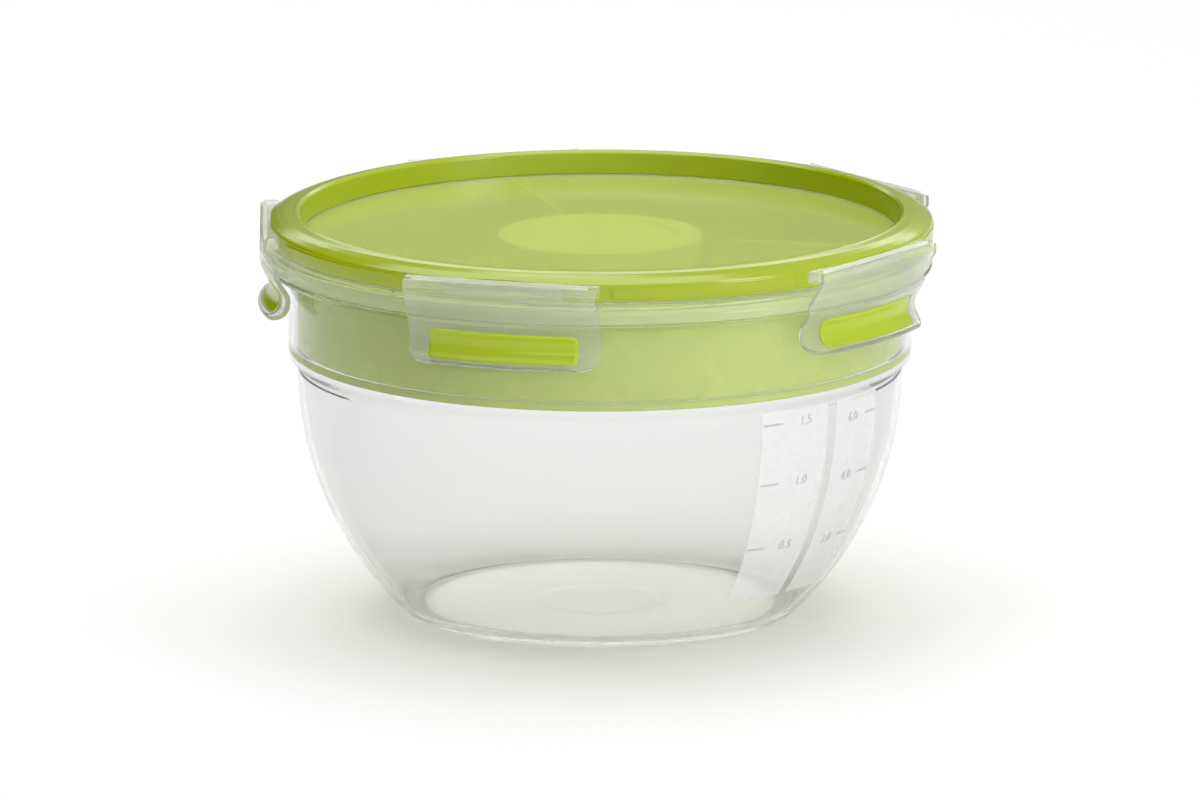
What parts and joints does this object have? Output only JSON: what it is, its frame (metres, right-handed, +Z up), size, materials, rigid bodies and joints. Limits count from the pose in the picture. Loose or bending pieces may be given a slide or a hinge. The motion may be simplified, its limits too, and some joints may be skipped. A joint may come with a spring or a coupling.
{
  "type": "snap lid food container",
  "caption": "Round clear food container with a lift-out divided tray, a capped dressing pot and a sealed lid held down by hinged snap clips.",
  "frame": {"origin": "centre of the bowl's underside, on the table", "axes": "+Z up along the bowl's axis, -Y towards the viewer, +X to the viewer's right"},
  "size_m": [0.2083, 0.2176, 0.1248],
  "materials": {
    "clear_bowl": "clear, polished",
    "clear_lid": "clear edge, hazy panel",
    "clear_clip": "clear, lightly frosted",
    "pale_green_tray": "translucent satin",
    "pale_green_pot": "translucent satin",
    "vivid_green_ring": "gloss",
    "soft_green_grip": "satin",
    "clear_film": "clear, flexible strip",
    "soft_seal": "satin"
  },
  "bodies": {
    "bowl": {"bowl": "clear_bowl"},
    "tray": {"salad_tray": "pale_green_tray"},
    "pot": {"dressing_pot": "pale_green_pot"},
    "pot_cap_body": {"pot_cap": "pale_green_pot", "pot_cap_seal": "soft_seal"},
    "lid": {"lid_shell": "clear_lid", "lid_ring": "vivid_green_ring", "lid_seal": "soft_seal"},
    "film_hinge_body_1": {"film_hinge_1": "clear_film"},
    "clip_body_1": {"clip_1": "clear_clip", "clip_grip_1": "soft_green_grip"},
    "film_hinge_body_2": {"film_hinge_2": "clear_film"},
    "clip_body_2": {"clip_2": "clear_clip", "clip_grip_2": "soft_green_grip"},
    "film_hinge_body_3": {"film_hinge_3": "clear_film"},
    "clip_body_3": {"clip_3": "clear_clip", "clip_grip_3": "soft_green_grip"},
    "film_hinge_body_4": {"film_hinge_4": "clear_film"},
    "clip_body_4": {"clip_4": "clear_clip", "clip_grip_4": "soft_green_grip"},
    "film_hinge_body_5": {"film_hinge_5": "clear_film"},
    "clip_body_5": {"clip_5": "clear_clip", "clip_grip_5": "soft_green_grip"}
  },
  "joints": [
    {"name": "lid_lift", "type": "slide", "parent": "bowl", "child": "lid", "axis": [0, 0, 1], "range_m": [0, 0.058]},
    {"name": "tray_lift", "type": "slide", "parent": "bowl", "child": "tray", "axis": [0, 0, 1], "range_m": [0, 0.0275]},
    {"name": "pot_lift", "type": "slide", "parent": "tray", "child": "pot", "axis": [0, 0, 1], "range_m": [0, 0.0225]},
    {"name": "pot_cap_turn", "type": "hinge", "parent": "pot", "child": "pot_cap_body", "pos_m": [0, 0, 0.11], "axis": [0, 0, 1], "range_deg": [0, 60]},
    {"name": "film_bend_1", "type": "hinge", "parent": "lid", "child": "film_hinge_body_1", "pos_m": [-0.03043, -0.0983, 0.122], "axis": [-0.9553, 0.2957, 0], "range_deg": [0, 120]},
    {"name": "clip_swing_1", "type": "hinge", "parent": "film_hinge_body_1", "child": "clip_body_1", "pos_m": [-0.03043, -0.0983, 0.122], "axis": [-0.9553, 0.2957, 0], "range_deg": [0, 55]},
    {"name": "film_bend_2", "type": "hinge", "parent": "lid", "child": "film_hinge_body_2", "pos_m": [0.08408, -0.05931, 0.122], "axis": [-0.5764, -0.8171, 0], "range_deg": [0, 120]},
    {"name": "clip_swing_2", "type": "hinge", "parent": "film_hinge_body_2", "child": "clip_body_2", "pos_m": [0.08408, -0.05931, 0.122], "axis": [-0.5764, -0.8171, 0], "range_deg": [0, 55]},
    {"name": "film_bend_3", "type": "hinge", "parent": "lid", "child": "film_hinge_body_3", "pos_m": [0.08239, 0.06164, 0.122], "axis": [0.599, -0.8007, 0], "range_deg": [0, 120]},
    {"name": "clip_swing_3", "type": "hinge", "parent": "film_hinge_body_3", "child": "clip_body_3", "pos_m": [0.08239, 0.06164, 0.122], "axis": [0.599, -0.8007, 0], "range_deg": [0, 55]},
    {"name": "film_bend_4", "type": "hinge", "parent": "lid", "child": "film_hinge_body_4", "pos_m": [-0.03316, 0.09741, 0.122], "axis": [0.9466, 0.3223, 0], "range_deg": [0, 120]},
    {"name": "clip_swing_4", "type": "hinge", "parent": "film_hinge_body_4", "child": "clip_body_4", "pos_m": [-0.03316, 0.09741, 0.122], "axis": [0.9466, 0.3223, 0], "range_deg": [0, 55]},
    {"name": "film_bend_5", "type": "hinge", "parent": "lid", "child": "film_hinge_body_5", "pos_m": [-0.10289, -0.00144, 0.122], "axis": [-0.014, 0.9999, 0], "range_deg": [0, 120]},
    {"name": "clip_swing_5", "type": "hinge", "parent": "film_hinge_body_5", "child": "clip_body_5", "pos_m": [-0.10289, -0.00144, 0.122], "axis": [-0.014, 0.9999, 0], "range_deg": [0, 55]}
  ],
  "couplings": [
    {"joint": "tray_lift", "follows": "lid_lift", "ratio": 0.47},
    {"joint": "pot_lift", "follows": "lid_lift", "ratio": 0.38},
    {"joint": "film_bend_1", "follows": "lid_lift", "rad_per_m": 36.1},
    {"joint": "film_bend_2", "follows": "lid_lift", "rad_per_m": 36.1},
    {"joint": "film_bend_3", "follows": "lid_lift", "rad_per_m": 36.1},
    {"joint": "film_bend_4", "follows": "lid_lift", "rad_per_m": 36.1},
    {"joint": "film_bend_5", "follows": "lid_lift", "rad_per_m": 36.1}
  ]
}
